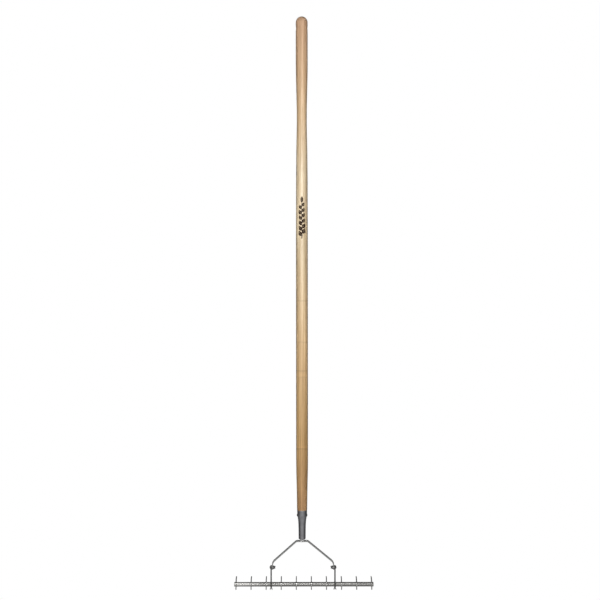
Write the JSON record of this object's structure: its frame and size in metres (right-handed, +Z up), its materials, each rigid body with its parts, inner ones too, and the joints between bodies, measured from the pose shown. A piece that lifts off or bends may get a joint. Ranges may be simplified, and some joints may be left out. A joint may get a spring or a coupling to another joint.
{
  "type": "lawn thatch rake",
  "caption": "Long-handled lawn rake: turned wooden handle, steel socket, bent strip bow and a tilting head of claw-shaped tines on a round bar.",
  "frame": {"origin": "on the handle's axis, at the middle of its straight cylindrical stretch", "axes": "+X along the tine bar, +Y from front to back, the way the long tips point, +Z up the handle"},
  "size_m": [0.382, 0.0415, 1.5722],
  "materials": {
    "ash": "pale straight-grained ash, turned and lacquered",
    "socket_steel": "dark grey satin powder coat on steel",
    "stainless": "brushed and polished stainless steel",
    "dark_steel": "blackened steel",
    "zinc": "dull zinc plate"
  },
  "bodies": {
    "handle_and_bow": {"handle": "ash", "socket": "socket_steel", "socket_rivet": "dark_steel", "bow": "stainless", "bow_collar": "stainless", "bow_rivet": "dark_steel"},
    "head": {"left_bracket": "stainless", "right_bracket": "stainless", "left_pivot_bolt": "dark_steel", "right_pivot_bolt": "dark_steel", "tine_bar": "stainless", "left_bar_cap": "stainless", "right_bar_cap": "stainless", "tine_01": "stainless", "tine_02": "stainless", "tine_03": "stainless", "tine_04": "stainless", "tine_05": "stainless", "tine_06": "stainless", "tine_07": "stainless", "tine_08": "stainless", "tine_09": "stainless", "tine_10": "stainless"},
    "left_washer_body": {"left_washer": "zinc"},
    "left_nut_body": {"left_wing_nut": "zinc"},
    "right_washer_body": {"right_washer": "zinc"},
    "right_nut_body": {"right_wing_nut": "zinc"}
  },
  "joints": [
    {"name": "head_tilt", "type": "hinge", "parent": "handle_and_bow", "child": "head", "pos_m": [0, 0, -0.5935], "axis": [1, 0, 0], "range_deg": [-90, 90]},
    {"name": "left_nut_travel", "type": "slide", "parent": "head", "child": "left_washer_body", "axis": [1, 0, 0], "range_m": [0, 0.00241]},
    {"name": "left_nut_turn", "type": "hinge", "parent": "left_washer_body", "child": "left_nut_body", "pos_m": [-0.0768, 0, -0.5935], "axis": [1, 0, 0], "range_deg": [0, 1080]},
    {"name": "right_nut_travel", "type": "slide", "parent": "head", "child": "right_washer_body", "axis": [-1, 0, 0], "range_m": [0, 0.00241]},
    {"name": "right_nut_turn", "type": "hinge", "parent": "right_washer_body", "child": "right_nut_body", "pos_m": [0.0816, 0, -0.5935], "axis": [-1, 0, 0], "range_deg": [0, 1080]}
  ],
  "couplings": [
    {"joint": "left_nut_travel", "follows": "left_nut_turn", "m_per_rad": 0.00012732},
    {"joint": "right_nut_travel", "follows": "right_nut_turn", "m_per_rad": 0.00012732}
  ]
}
